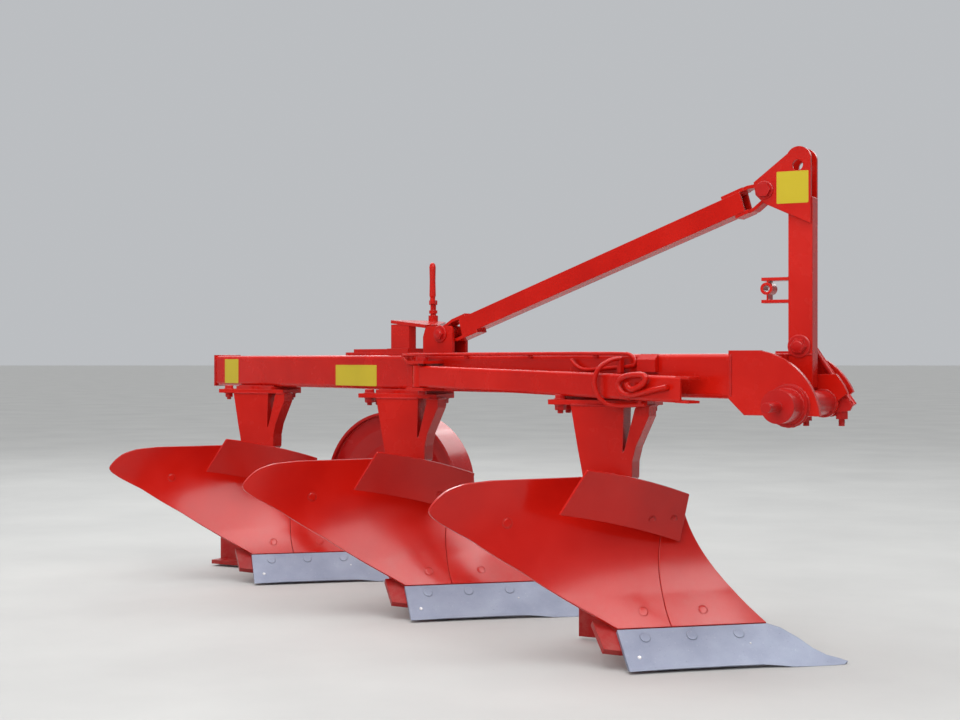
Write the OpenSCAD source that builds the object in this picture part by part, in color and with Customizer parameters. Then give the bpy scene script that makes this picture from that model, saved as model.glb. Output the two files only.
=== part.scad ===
// Three-furrow mounted moldboard plough, right-turning, parked on its bodies.
// Millimetres, +Z up, +X forward (hitch end), +Y to the left.
// Drawn from the tip of the front share, then moved so that the origin is
// under the middle of the whole plough, at the level of the share edges.

/* [Layout] */
// Distance from one body to the next along the direction of travel
pitch_x = 800; // [760:5:840]
// Cutting width of one body
pitch_y = 350; // [330:5:360]
// Level of the underside of the main beam above the share edges
beam_z = 632; // [620:1:640]

/* [Beam] */
// Height of the beam tube
beam_h = 105; // [100:1:110]
// Width of the beam tube
beam_w = 100; // [95:1:100]
// Wall of the beam tube
beam_wall = 8; // [6:1:12]

/* [Body] */
// Angle of the share edge to the direction of travel
share_ang = 42; // [41:0.5:43]
// Slope of the share blade above the ground
share_slope = 43; // [42:0.5:44]
// Width of the share blade up its slope
share_w = 120; // [115:1:120]
// Thickness of the share blade
share_t = 11; // [8:1:12]
// Thickness of the moldboard and shin plates
board_t = 8; // [6:1:9]
// Thickness of the trashboard plate
trash_t = 6; // [4:1:7]

/* [Hitch] */
// Radius of the two lower link pins
pin_r = 11; // [10.8:0.1:11]
// Distance between the shoulders of the two lower link pins
shoulder_w = 683; // [680:1:686]
// Level of the cross shaft
shaft_z = 619; // [616:1:621]
// Radius of the top link hole
top_r = 12.9; // [12.7:0.1:13.2]
// Clear gap between the two top link plates
top_gap = 44.5; // [44.5:0.5:48]

/* [Depth wheel] */
// Outer radius of the land wheel
wheel_r = 255; // [240:1:256]
// Width of the wheel tread
wheel_w = 130; // [110:1:135]

/* [Hidden] */
$fn = 48;
// Shift from the tip of the front share to the middle of the plough
fx = 1233.2;
fy = -134.9;
fz = 8;                               // the share noses dip this far below the cutting edges
ang = atan2(pitch_y, pitch_x);        // angle of the beam to the travel
pitch_s = sqrt(pitch_x * pitch_x + pitch_y * pitch_y);
beam_y0 = -303;                       // where the beam's centre line crosses x = 0
beam_top = beam_z + beam_h;
joint_s = 1462;                       // place of the bolted joint along the beam
beam_end = 2680;
e = 0.4;

RED = "#b81c18";
BLUE = "#8790a8";
STEEL = "#9a9a9a";

module placed() translate([fx, fy, fz]) children();
// s runs back along the beam, r to the right of its centre line
module on_beam(s = 0, r = 0, z = 0)
  translate([0, beam_y0, z]) rotate([0, 0, 180 - ang]) translate([s, r, 0]) children();
// an upright plate from an outline in X and Z, between two values of Y
module slab(y0, y1) translate([0, y1, 0]) rotate([90, 0, 0]) linear_extrude(y1 - y0) children();
module on_body(k) translate([-pitch_x * k, pitch_y * k, 0]) children();
// a round bar between two points in an X-Z plane at y
module bar_xz(a, b, y, r) let (d = [b[0] - a[0], b[1] - a[1]], l = norm(d))
  translate([a[0], y, a[1]]) rotate([0, 90 - atan2(d[1], d[0]), 0]) cylinder(r = r, h = l);

// ---------------------------------------------------------------- beams
module tube_profile(w, h, c) {
  difference() {
    hull_rect(w, h, c);
    hull_rect(w - 2 * beam_wall, h - 2 * beam_wall, max(1, c - beam_wall / 2));
  }
}
// rectangle with round corners, from a cross of squares and four circles
module hull_rect(w, h, c) {
  square([w - 2 * c, h], center = true);
  square([w, h - 2 * c], center = true);
  for (i = [-1, 1], j = [-1, 1]) translate([i * (w / 2 - c), j * (h / 2 - c)]) circle(c);
}
module beam_tube(s0, s1)
  on_beam(s0, 0, beam_z + beam_h / 2) rotate([0, 90, 0]) rotate([0, 0, 90])
    linear_extrude(s1 - s0) tube_profile(beam_w, beam_h, 13);

module front_beam() color(RED) placed() difference() {
  beam_tube(60, joint_s - 12);
  translate([-191, -700, beam_z - 20]) cube([600, 900, beam_h + 40]);
  translate([-500, -274 - 600, beam_z - 20]) cube([600, 600, beam_h + 40]);
}
module rear_beam() color(RED) placed() beam_tube(joint_s + 12, beam_end);
// two bolted flanges where the rear section joins
module beam_joint() color(RED) placed()
  for (i = [0, 1]) on_beam(joint_s - 12 + 12 * i, 0, beam_z)
    translate([0, -beam_w / 2 - 5, 0]) cube([12, beam_w + 10, beam_h]);
module rear_end_plate() color(RED) placed()
  on_beam(beam_end, -beam_w / 2 - 2, beam_z - 3) cube([8, beam_w + 4, beam_h + 6]);

// ---------------------------------------------------------------- headstock
cheek_arc = [-149.7, 580, 166];       // centre X, centre Z, radius
cheek_top = 744;
mast_x0 = -125; mast_x1 = -66;
mast_y0 = -60; mast_y1 = mast_y0 + top_gap;
hitch_y = -35;                        // middle of the lower link pins
shaft_x = -55;
shaft_hole = 30.3;
// cheek plate from its rounded front, its back and the ring round the cross shaft
module cheek(y0, y1, back, low, top, nose, ring) difference() {
  union() {
    intersection() {
      slab(y0, y1) translate([cheek_arc[0], cheek_arc[1]]) circle(cheek_arc[2], $fn = 120);
      slab(y0, y1) polygon([[back, low + 37], [back + 37, low], [-66, low], [60, nose], [60, top], [back, top]]);
    }
    slab(y0, y1) polygon([[back, low + 37], [back + 37, low], [-120, low], [-120, top], [back, top]]);
    slab(y0, y1) translate([shaft_x, shaft_z]) circle(ring);
  }
  slab(y0 - 1, y1 + 1) translate([shaft_x, shaft_z]) circle(shaft_hole);
}
module right_cheek() color(RED) placed() cheek(-290, -274, -196.4, 596, cheek_top, 596, 46);
module inner_cheek() color(RED) placed() cheek(-8, 6, -191, 587, 688, 686, 36);
module left_cheek() color(RED) placed() cheek(50, 64, -191, 587, cheek_top, 692, 36);
module headstock_crossbar() color(RED) placed() {
  translate([-191, -274, 640]) cube([66, 266, 95]);
  translate([-191, 6, 640]) cube([66, 44, 95]);
}
module mast() color(RED) placed() {
  translate([mast_x0, mast_y0, 655]) cube([mast_x1 - mast_x0, top_gap, 1112 - 655]);
}
mast_bolt = [-182, 1133];
top_hole = [-100, 1189];
module mast_plates() color(RED) placed()
  for (y = [mast_y0 - 8, mast_y1]) slab(y, y + 8) difference() {
    union() {
      translate([-98, 1204]) circle(30);
      polygon([[-68, 1204], [-68, 1048], [-123, 1073], [-183, 1101], [-204, 1122], [-209, 1153], [-116, 1224.5]]);
    }
    translate(top_hole) circle(top_r);
    translate(mast_bolt) circle(12.3);
  }
module mast_clevis() color(RED) placed() difference() {
  union() {
    for (z = [860, 914]) translate([-193, -57, z]) cube([193 + mast_x0, 38, 8]);
    translate([-180, -57, 867]) cube([4, 38, 48]);
    translate([-180, -59, 895]) rotate([-90, 0, 0]) cylinder(r = 15, h = 42);
  }
  translate([-180, -70, 895]) rotate([-90, 0, 0]) cylinder(r = 8.1, h = 70);
}
module cross_shaft() color(RED) placed() {
  w0 = hitch_y - shoulder_w / 2;                  // right shoulder
  w1 = w0 + shoulder_w;                           // left shoulder
  lx = shaft_x - 75;                              // the left pin is cranked back
  translate([shaft_x, w0 - 81, shaft_z]) rotate([-90, 0, 0]) {
    cylinder(r = pin_r, h = 82);
    translate([0, 0, 81]) cylinder(r = 38, h = 71);
    translate([0, 0, -w0 + 81 - 306]) cylinder(r = 47, h = 15);
    translate([0, 0, -w0 + 81 - 300]) cylinder(r = 30, h = 385);
  }
  slab(66, 86) translate([shaft_x, shaft_z]) circle(34);
  slab(66, 86) translate([lx, shaft_z]) circle(32);
  slab(66, 86) polygon([[shaft_x, shaft_z + 34], [lx, shaft_z + 32], [lx, shaft_z - 32], [shaft_x, shaft_z - 34]]);
  translate([lx, 85, shaft_z]) rotate([-90, 0, 0]) {
    cylinder(r = 30, h = w1 - 85);
    cylinder(r = pin_r, h = w1 - 85 + 81);
  }
  // lever for the swing screw
  slab(8, 16) polygon([[shaft_x - 10, shaft_z + 29], [4, 626], [12, 612], [6, 600], [shaft_x, shaft_z - 29]]);
}
// slanting screw that turns the cross shaft, with its nut between the left cheeks
module swing_screw() color(RED) placed() {
  bar_xz([-96, 765], [-1, 624], 28, 8);
  bar_xz([-8, 634], [8, 611], 28, 11);
  translate([3, 16.4, 618]) rotate([-90, 0, 0]) cylinder(r = 7, h = 12);
  translate([-23.2, 6.3, 657]) rotate([-90, 0, 0]) cylinder(r = 11, h = 43.4);
}

// ---------------------------------------------------------------- stay
stay_lo = [-1233.2, 236.5, 798];      // eye on the beam
stay_hi = [mast_bolt[0], mast_y0 + top_gap / 2, mast_bolt[1]];
stay_d = stay_lo - stay_hi;
stay_l = norm(stay_d);
stay_yaw = atan2(stay_d[1], stay_d[0]);
stay_pitch = asin(stay_d[2] / stay_l);
module on_stay() translate(stay_hi) rotate([0, 0, stay_yaw]) rotate([0, -stay_pitch, 0]) children();
// the two straps of one end: width near the eye, width at the tube, reach of the top and bottom strap
module straps(w0, w1, top, low) for (q = [[1, 23, top], [-1, 28, low]]) {
  rotate([90, 0, 0]) linear_extrude(w0, center = true)
    polygon([[0, q[0] * 13], [44, q[0] * (q[1] - 1)], [60, q[0] * (q[1] - 1)], [60, q[0] * (q[1] + 8)], [44, q[0] * (q[1] + 8)], [0, q[0] * 22]]);
  translate([56, -w1 / 2, q[0] > 0 ? q[1] - 1 : -q[1] - 8]) cube([q[2] - 56, w1, 9]);
}
module stay() color(RED) placed() {
  difference() {
    union() {
      on_stay() difference() {
        translate([66, -20, -28]) cube([stay_l - 66 - 70, 40, 51]);
        translate([60, -15, -23]) cube([stay_l - 120, 30, 41]);
      }
      on_stay() straps(28, 38, 121, 96);
      translate(stay_hi) rotate([90, 0, 0]) cylinder(r = 22, h = 36, center = true);
    }
    translate(stay_hi) rotate([90, 0, 0]) cylinder(r = 12.3, h = 80, center = true);
  }
  difference() {
    on_stay() translate([stay_l, 0, 0]) mirror([1, 0, 0]) {
      straps(40, 40, 98, 130);
      rotate([90, 0, 0]) cylinder(r = 22, h = 44, center = true);
    }
    at_stay_foot() translate([0, 0, stay_lo[2]]) rotate([90, 0, 0]) cylinder(r = 12.3, h = 60, center = true);
  }
}
module stay_bolt_top() color(STEEL) placed() translate([mast_bolt[0], mast_y0 - 22, mast_bolt[1]]) rotate([-90, 0, 0]) {
  cylinder(r = 12, h = top_gap + 44);
  cylinder(r = 18, h = 13, $fn = 6);
  translate([0, 0, top_gap + 31]) cylinder(r = 18, h = 13, $fn = 6);
}
module at_stay_foot() translate([stay_lo[0], stay_lo[1], 0]) rotate([0, 0, stay_yaw]) children();
module stay_bracket() color(RED) placed() at_stay_foot()
  for (y = [-33, 23]) translate([0, y + 10, 0]) rotate([90, 0, 0]) linear_extrude(10) difference() {
    polygon([[-48, beam_top], [72, beam_top], [72, 790], [60, 821], [-38, 821], [-48, 811]]);
    translate([0, stay_lo[2]]) circle(12.3);
  }
module stay_bolt_foot() color(STEEL) placed() at_stay_foot() translate([0, -46, stay_lo[2]]) rotate([-90, 0, 0]) {
  cylinder(r = 12, h = 92);
  cylinder(r = 18, h = 13, $fn = 6);
  translate([0, 0, 79]) cylinder(r = 18, h = 13, $fn = 6);
}

// ---------------------------------------------------------------- bodies
// each leg hangs under a plate that runs along the travel and reaches the beam's left side
leg_y = -148; leg_t = 48;
flange_z = beam_z - 23;
module leg_flanges() color(RED) placed() for (k = [0:2]) {
  on_body(k) translate([0, 0, flange_z]) linear_extrude(12.9)
    polygon([[-724, -148], [-453, -148], [-453, -43], [-724, 72]]);
  on_beam(519 + pitch_s * k, -56, flange_z + 12) cube([240, 118, 10.8]);
}
module leg(k) color(RED) placed() on_body(k) slab(leg_y, leg_y + leg_t) difference() {
  polygon([[-661, flange_z], [-449, flange_z], [-449, 583], [-484, 507], [-493, 470], [-494, 430],
           [-508, 412], [-508, 400], [-622, 400], [-630, 446], [-641, 500]]);
  polygon([[-516, flange_z + 1], [-480, flange_z + 1], [-486, 602], [-514, 498], [-519, 493]]);
}

// Moldboard surface: level lines that start at the shin edge and turn as they rise.
function shin_x(z) = -181 - 228 * (1 - pow((z - 412) / 330, 2));
function shin_y(z) = -45 + 10 * min(1, (z - 82) / 80);
function line_ang(z) = share_ang + 13.2 * (1 - pow(1 - max(0, min(1, (z - 84) / 356)), 2));
function on_board(s, z) = let (t = line_ang(z)) [shin_x(z) - s * cos(t), shin_y(z) - s * sin(t), z];
function board_n(s, z) = let (a = on_board(s + 1, z) - on_board(s - 1, z),
                             b = on_board(s, z + 1) - on_board(s, z - 1), n = cross(b, a)) n / norm(n);  // toward the front
// edges of the moldboard: level, end of the plate along its line
seam0 = 245.9; seam_k = 0.7524;
function seam_s(z) = max(0, seam0 - seam_k * (z - 84));
// above the shin the start of the plate follows the back of the trashboard
function board_s0(z) = z < 384 ? seam_s(z) + 1 : max(seam_s(z) + 1, (z - 383) / 0.19);
BOARD_END = [[84, 380], [114, 405], [174, 464], [221, 507], [261, 556], [302, 604], [339, 664], [359, 690], [375, 698],
             [383, 689], [401, 674], [421, 647], [433, 603], [438, 535]];
// a plate of quads on the surface, t thick behind the face; rows are [z, s0, s1]
module board_plate(rows, nx, t, off = 0) {
  nr = len(rows); m = nx + 1;
  front = [for (r = rows, i = [0:nx]) let (s = r[1] + (r[2] - r[1]) * i / nx) on_board(s, r[0]) - off * board_n(s, r[0])];
  back = [for (r = rows, i = [0:nx]) let (s = r[1] + (r[2] - r[1]) * i / nx) on_board(s, r[0]) - (off + t) * board_n(s, r[0])];
  q = nr * m;
  polyhedron(concat(front, back), concat(
    [for (j = [0:nr - 2], i = [0:nx - 1]) each let (a = j * m + i) [[a, a + 1, a + m + 1], [a, a + m + 1, a + m]]],
    [for (j = [0:nr - 2], i = [0:nx - 1]) each let (a = q + j * m + i) [[a, a + m + 1, a + 1], [a, a + m, a + m + 1]]],
    [for (i = [0:nx - 1]) each [[i, q + i, q + i + 1], [i, q + i + 1, i + 1]]],
    [for (i = [0:nx - 1]) each let (a = (nr - 1) * m + i) [[a, q + a + 1, q + a], [a, a + 1, q + a + 1]]],
    [for (j = [0:nr - 2]) each let (a = j * m) [[a, a + m, q + a + m], [a, q + a + m, q + a]]],
    [for (j = [0:nr - 2]) each let (a = j * m + nx) [[a, q + a + m, a + m], [a, q + a, q + a + m]]]),
    convexity = 6);
}
module moldboard(k) color(RED) placed() on_body(k)
  board_plate([for (b = BOARD_END) [b[0], board_s0(b[0]), b[1]]], 8, board_t);
module shin(k) color(RED) placed() on_body(k)
  board_plate([for (b = BOARD_END) if (b[0] < 384) [b[0], 0, seam_s(b[0]) - 1]], 4, board_t);

// share blade: u runs back along its edge from the tip, v up its slope
module on_share() rotate([0, 0, share_ang]) rotate([share_slope, 0, 0]) mirror([1, 0, 0]) children();
SHARE_FACE = [[-4, -1], [8, -10], [28, -11], [90, -11], [142, -8.5], [176, -3], [215, 2], [302, 3], [443, 2.8], [548, 0],
              [550, share_w], [165, share_w], [135, 106], [99, 73], [73, 42], [44, 20], [15, 9]];
module share(k) color(BLUE) placed() on_body(k) intersection() {
  on_share() translate([0, 0, -share_t]) linear_extrude(share_t) polygon(SHARE_FACE);
  rotate([0, 0, share_ang]) mirror([1, 0, 0]) rotate([90, 0, 0]) translate([0, 0, -200]) linear_extrude(400)
    polygon([[-20, -fz], [130, -fz], [200, -1], [560, -1], [560, 200], [-20, 200]]);
}
// frog: seat under the share, upright web behind the board, cross piece to the landside
function web_x(z) = let (t = line_ang(z), s = (shin_y(z) - leg_y) / sin(t))
  shin_x(z) - s * cos(t) - (board_t + 0.6) / board_n(s, z)[0];
module frog(k) color(RED) placed() on_body(k) {
  slab(leg_y, leg_y + leg_t)
    polygon(concat([for (z = [100:20:380]) [web_x(z), z]],
      [[-508, 399.8], [-622, 399.8], [-590, 250], [-575, 100], [-575, 16], [-256, 16], [-250, 24], [-305, 62]]));
  translate([-520, leg_y + leg_t - 1, 30]) cube([220, -14.2 - leg_y - leg_t + 1, 50]);
  difference() {
    on_share() translate([0, 0, -share_t - e - 18]) linear_extrude(18)
      polygon([[150, 40], [548, 67], [591, 75], [600, 158], [572, 158], [552, 128], [150, 112]]);
    translate([-700, -700, -92]) cube([900, 900, 100]);
  }
  rotate([0, 0, share_ang]) mirror([1, 0, 0]) translate([440, 56, -fz]) cube([40, 20, 40]);
}
module landside(k) color(RED) placed() on_body(k) {
  back = k == 2 ? -822 : -699;
  slab(-14, -2) polygon([[back, 0], [-236, 0], [-210, 30], [-262, 92], [back, 92]]);
  if (k == 2) translate([back - 7, -56, 0]) cube([121, 54, 14]);
}
// a round bar between two points
module bar(a, b, r) let (d = b - a, l = norm(d))
  translate(a) rotate([0, acos(d[2] / l), atan2(d[1], d[0])]) cylinder(r = r, h = l);
// round stay from the web to a lug on the back of the moldboard wing
module moldboard_stays() color(RED) placed() for (k = [0:2]) on_body(k) {
  n = board_n(500, 330);
  p = on_board(500, 330);
  bar([-585, leg_y - 4, 300], p - (board_t + 12) * n, 10);
  bar(p - (board_t + 15) * n, p - (board_t + 2.6) * n, 22);
}
// trashboard: a plate that starts flush at the shin and leaves the surface to the left
TR = [-380, -49, 387];
BR = on_board(55, 268) + (trash_t + 3) * board_n(55, 268);
TL = [-505, -386, 464];
BL = [-563, -418, 359];
function bow(t, n) = 4 * t * (1 - t) * ([0, 0, 9] + 5 * n);
module trashboard(k) color(RED) placed() on_body(k) {
  n = 8;
  nrm = let (c = cross(TL - TR, BL - TR)) c / norm(c);
  a = [for (i = [0:n]) TR + (TL - TR) * i / n + bow(i / n, nrm)];
  b = [for (i = [0:n]) BR + (BL - BR) * i / n + bow(i / n, nrm)];
  pts = concat(a, b, [for (p = a) p - trash_t * nrm], [for (p = b) p - trash_t * nrm]);
  m = n + 1;
  polyhedron(pts, concat(
    [for (i = [0:n - 1]) each [[i, m + i, m + i + 1], [i, m + i + 1, i + 1]]],
    [for (i = [0:n - 1]) each [[2 * m + i, 3 * m + i + 1, 3 * m + i], [2 * m + i, 2 * m + i + 1, 3 * m + i + 1]]],
    [for (i = [0:n - 1]) each [[i, i + 1, 2 * m + i + 1], [i, 2 * m + i + 1, 2 * m + i]]],
    [for (i = [0:n - 1]) each [[m + i, 3 * m + i + 1, m + i + 1], [m + i, 3 * m + i, 3 * m + i + 1]]],
    [[0, 2 * m, 3 * m], [0, 3 * m, m]],
    [[n, m + n, 3 * m + n], [n, 3 * m + n, 2 * m + n]]));
}

// ---------------------------------------------------------------- depth wheel
wheel_c = [-1748, 745 + wheel_w / 2, 291];
arm_p = [-1570, 640];                 // pivot of the wheel arm, X and Z
screw_x = -1404.5; screw_y = 444;     // place of the depth screw beside the beam
module around_y(x, z, y) translate([x, y, z]) rotate([-90, 0, 0]) children();
// left face of the beam at a given x
function beam_left(x) = beam_y0 + (20 - x) * tan(ang) + beam_w / 2 * cos(ang);
module wheel_bracket() color(RED) placed() difference() {
  union() {
    around_y(arm_p[0], arm_p[1], 480) cylinder(r = 44, h = 86);
    translate([arm_p[0] - 44, 480, arm_p[1]]) cube([88, 86, 90]);
    translate([0, 0, 692]) linear_extrude(38)
      polygon([[arm_p[0] - 44, beam_left(arm_p[0] - 44) + 0.1], [arm_p[0] + 44, beam_left(arm_p[0] + 44) + 0.1],
               [arm_p[0] + 44, 482], [arm_p[0] - 44, 482]]);
  }
  around_y(arm_p[0], arm_p[1], 400) cylinder(r = 30.05, h = 200);
}
module wheel_arm() color(RED) placed() {
  l = norm([wheel_c[0] - arm_p[0], wheel_c[2] - arm_p[1]]);
  a = atan2(wheel_c[2] - arm_p[1], wheel_c[0] - arm_p[0]);
  around_y(arm_p[0], arm_p[1], 464) {
    cylinder(r = 30, h = 735 - 464);
    translate([0, 0, 103]) cylinder(r = 38, h = 12);
  }
  // trailing arm
  slab(705, 735) difference() {
    union() {
      translate([arm_p[0], arm_p[1]]) circle(33);
      translate([wheel_c[0], wheel_c[2]]) circle(33);
      translate([arm_p[0], arm_p[1]]) rotate(a) polygon([[0, 26], [0, -26], [l, -24], [l, 24]]);
    }
    translate([wheel_c[0], wheel_c[2]]) circle(15.2);
  }
  // forked lever round the screw
  slab(464, 474) polygon([[arm_p[0], arm_p[1] + 30], [-1360, arm_p[1] + 18], [-1360, arm_p[1] - 18], [arm_p[0], arm_p[1] - 30]]);
  slab(414, 424) polygon([[-1460, arm_p[1] + 22], [-1360, arm_p[1] + 18], [-1360, arm_p[1] - 18], [-1460, arm_p[1] - 22]]);
  slab(423, 465) polygon([[-1460, arm_p[1] + 22], [-1448, arm_p[1] + 22], [-1448, arm_p[1] - 22], [-1460, arm_p[1] - 22]]);
}
module wheel_axle() color(STEEL) placed() around_y(wheel_c[0], wheel_c[2], 692) {
  cylinder(r = 15, h = 180);
  cylinder(r = 24, h = 7.5);
  translate([0, 0, 172]) cylinder(r = 22, h = 8);
}
module wheel_rim() color(RED) placed() around_y(wheel_c[0], wheel_c[2], wheel_c[1] - wheel_w / 2) {
  rotate_extrude($fn = 120) {
    polygon([[wheel_r - 9, 0], [wheel_r, 0], [wheel_r, wheel_w], [wheel_r - 9, wheel_w]]);
    polygon([[46, 34], [150, 34], [200, 20], [wheel_r - 5, 20], [wheel_r - 5, 27], [202, 27], [152, 41], [46, 41]]);
  }
}
module wheel_hub() color(RED) placed() around_y(wheel_c[0], wheel_c[2], 741) difference() {
  union() {
    cylinder(r = 46, h = 120);
    translate([0, 0, 45.2]) cylinder(r = 75, h = 10);
  }
  translate([0, 0, -1]) cylinder(r = 15.05, h = 130);
}
// post and sloping plate on the beam that carry the depth screw
module screw_bracket() color(RED) placed() {
  on_beam(1503, 4, beam_top) cube([94, 26, 93]);
  on_beam(1498, -38, beam_top) cube([109, 76, 20]);
  on_beam(1445, -34, beam_top) cube([390, 68, 9]);
  on_beam(1835, 0, beam_top) cylinder(r = 34, h = 9);
  on_beam(1600, -18, beam_top + 8) cube([222, 36, 11]);
  difference() {
    union() {
      on_beam(1466, 0, 831) rotate([0, -5.5, 0]) translate([0, 0, -10]) linear_extrude(10)
        polygon([[-48, 31], [131, 31], [150, -145], [88, -145], [-48, -16]]);
      translate([screw_x, screw_y, 818]) cylinder(r = 15, h = 42);
    }
    translate([screw_x, screw_y, 800]) cylinder(r = 9.05, h = 80);
  }
}
module depth_screw() color(RED) placed() translate([screw_x, screw_y, 0]) {
  translate([0, 0, 580]) cylinder(r = 9, h = 322);
  translate([0, 0, arm_p[1] - 20]) cylinder(r = 14, h = 40);
  translate([0, 0, 866]) cylinder(r = 13, h = 10);
  translate([0, 0, 893]) cylinder(r = 13, h = 14);
  rotate([0, 0, 298.3]) translate([0, -8, 895]) cube([60, 16, 10]);
  rotate([0, 0, 298.3]) translate([56, 0, 895]) rotate([0, 6, 0]) rotate_extrude()
    polygon([[0, 0], [9, 0], [8, 14], [8, 18], [10, 24], [9, 70], [10, 112], [8, 121], [4, 125], [0, 126]]);
}

// ---------------------------------------------------------------- harrow arm
harm_s = 1345; harm_r = 95;           // pivot
harm_tilt = 1.22;                     // the arm droops to its free end
harm_z = 675;                         // level of its middle at the pivot
module on_harm() on_beam(harm_s, harm_r, harm_z) mirror([1, 0, 0]) rotate([0, harm_tilt, 0]) children();
arm_w = 50; arm_h = 62; arm_wall = 6;
arm_hole = 1060;                      // hitch hole of the arm, from its pivot
module arm_section(w, h, c) rotate([90, 0, 90]) linear_extrude(1038) hull_rect(w, h, c);
module harrow_arm() color(RED) placed() on_harm() difference() {
  union() {
    difference() {
      translate([20, 0, 0]) arm_section(arm_w, arm_h, 8);
      translate([40, 0, 0]) arm_section(arm_w - 2 * arm_wall, arm_h - 2 * arm_wall, 4);
      // the side toward the beam stops short of the open end
      translate([950, -arm_w / 2 - 1, -arm_h / 2 + arm_wall]) cube([120, 12, arm_h - 2 * arm_wall]);
    }
    cylinder(r = 27, h = arm_h, center = true);
    for (z = [-arm_h / 2, arm_h / 2 - arm_wall]) translate([1040, -15, z]) cube([43, 38, arm_wall]);
  }
  rotate([0, -harm_tilt, 0]) cylinder(r = 12.05, h = 90, center = true);
  translate([arm_hole, 3, 0]) rotate([0, -harm_tilt, 0]) cylinder(r = 10.2, h = 100, center = true);
}
module arm_pivot() color(RED) placed() on_beam(harm_s, harm_r, 0)
  for (z = [[633, 9.4], [711, 9]]) difference() {
    translate([-45, -harm_r + beam_w / 2, z[0]]) cube([85, 75, z[1]]);
    translate([0, 0, z[0] - 5]) cylinder(r = 12.05, h = 20);
  }
module arm_pivot_pin() color(STEEL) placed() on_beam(harm_s, harm_r, 622) {
  cylinder(r = 12, h = 112);
  translate([0, 0, 98.3]) cylinder(r = 18, h = 10);
}
// bow of round bar about the right side of the arm that ends in a handle under it, on two lugs
BOW = [[535, 74, 727], [544, 100, 723], [556, 125, 706], [562, 137, 682], [562, 139, 660], [556, 134, 634],
       [545, 116, 614], [528, 100, 610], [500, 92, 611], [432, 90, 615]];
module arm_loop() color(RED) placed() {
  wire(smooth(smooth(BOW)), 6, ref = [0.69, -0.69, -0.23]);
  on_beam(531, 66, 689.8) cube([12, 14, 38]);
  on_beam(440, 84, 612) cube([12, 13, 12.2]);
}
// pigtail of round bar on the arm: a table of points in a plane beside it, which it leaves a little as it winds
PIGTAIL = [[318, 658.5], [379, 648.5], [442, 636], [470, 641], [487, 658], [483, 673], [460, 684.5], [400, 688],
           [390, 679], [401, 663], [438, 650.5], [452, 656], [456, 667]];
function coil_r(i) = 127.2 + 10 * i / 12;
module arm_hook() color(RED) placed()
  wire(smooth(smooth([for (i = [0:len(PIGTAIL) - 1]) [PIGTAIL[i][0] - 1.28 * (coil_r(i) - 130), coil_r(i), PIGTAIL[i][1]]])), 7);
// a round wire along points given as s, r and z; ref is a direction that the wire never takes
function unit(v) = v / norm(v);
function smooth(p) = [p[0], for (i = [0:len(p) - 2]) each [p[i] * 0.78 + p[i + 1] * 0.22, p[i] * 0.22 + p[i + 1] * 0.78], p[len(p) - 1]];
module wire(p, rad, n = 12, ref = [0, 1, 0]) {
  last = len(p) - 1;
  rings = [for (i = [0:last]) let (t = unit(unit(p[max(i, 1)] - p[max(i, 1) - 1]) + unit(p[min(i, last - 1) + 1] - p[min(i, last - 1)])),
             e1 = unit(cross(t, ref)), e0 = cross(e1, t))
           for (j = [0:n - 1]) let (q = p[i] + rad * cos(360 * j / n) * e0 + rad * sin(360 * j / n) * e1) beam_point(q[0], q[1], q[2])];
  polyhedron(rings, concat(
    [for (i = [0:last - 1], j = [0:n - 1]) let (a = i * n + j, b = i * n + (j + 1) % n) each [[a + n, b, a], [a + n, b + n, b]]],
    [[for (j = [0:n - 1]) j]], [[for (j = [n - 1:-1:0]) last * n + j]]), convexity = 8);
}
function beam_point(s, r, z) = [-s * cos(ang) + r * -sin(ang), beam_y0 + s * sin(ang) - r * cos(ang), z];
// latch rod along the upper right edge of the beam
ROD = [[1386, 716], [1450, 711], [1462, 713], [1483, 726], [1492, 733], [1486, 738], [533, 739], [512, 734], [499, 724],
       [497, 714], [507, 707], [612, 701], [687, 696], [719, 709], [735, 723]];
rod_r = 60.5;
module arm_rod() color(RED) placed() {
  wire(smooth(smooth([for (q = ROD) [q[0], rod_r, q[1]]])), 5);
  for (s = [640, 900, 1180]) on_beam(s, beam_w / 2 + e, 728) cube([14, 8, 8]);
}
module arm_catch() color(RED) placed() on_beam(428, beam_w / 2 + 13, 0) rotate([90, 0, 90]) linear_extrude(62)
  polygon([[0, 692], [0, 723], [-12.6, 737], [-12.6, 692]]);

front_beam();
rear_beam();
beam_joint();
rear_end_plate();
right_cheek();
inner_cheek();
left_cheek();
headstock_crossbar();
mast();
mast_plates();
mast_clevis();
cross_shaft();
swing_screw();
stay();
stay_bolt_top();
stay_bracket();
stay_bolt_foot();
leg_flanges();
leg(0);  // front_leg
leg(1);  // middle_leg
leg(2);  // rear_leg
frog(0);  // front_frog
frog(1);  // middle_frog
frog(2);  // rear_frog
share(0);  // front_share
share(1);  // middle_share
share(2);  // rear_share
shin(0);  // front_shin
shin(1);  // middle_shin
shin(2);  // rear_shin
moldboard(0);  // front_moldboard
moldboard(1);  // middle_moldboard
moldboard(2);  // rear_moldboard
landside(0);  // front_landside
landside(1);  // middle_landside
landside(2);  // rear_landside
trashboard(0);  // front_trashboard
trashboard(1);  // middle_trashboard
trashboard(2);  // rear_trashboard
moldboard_stays();
wheel_bracket();
wheel_arm();
wheel_axle();
wheel_rim();
wheel_hub();
screw_bracket();
depth_screw();
harrow_arm();
arm_pivot();
arm_pivot_pin();
arm_loop();
arm_rod();
arm_hook();
arm_catch();
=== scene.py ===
import math
import random

import bmesh
import bpy
from mathutils import Matrix, Vector


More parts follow.
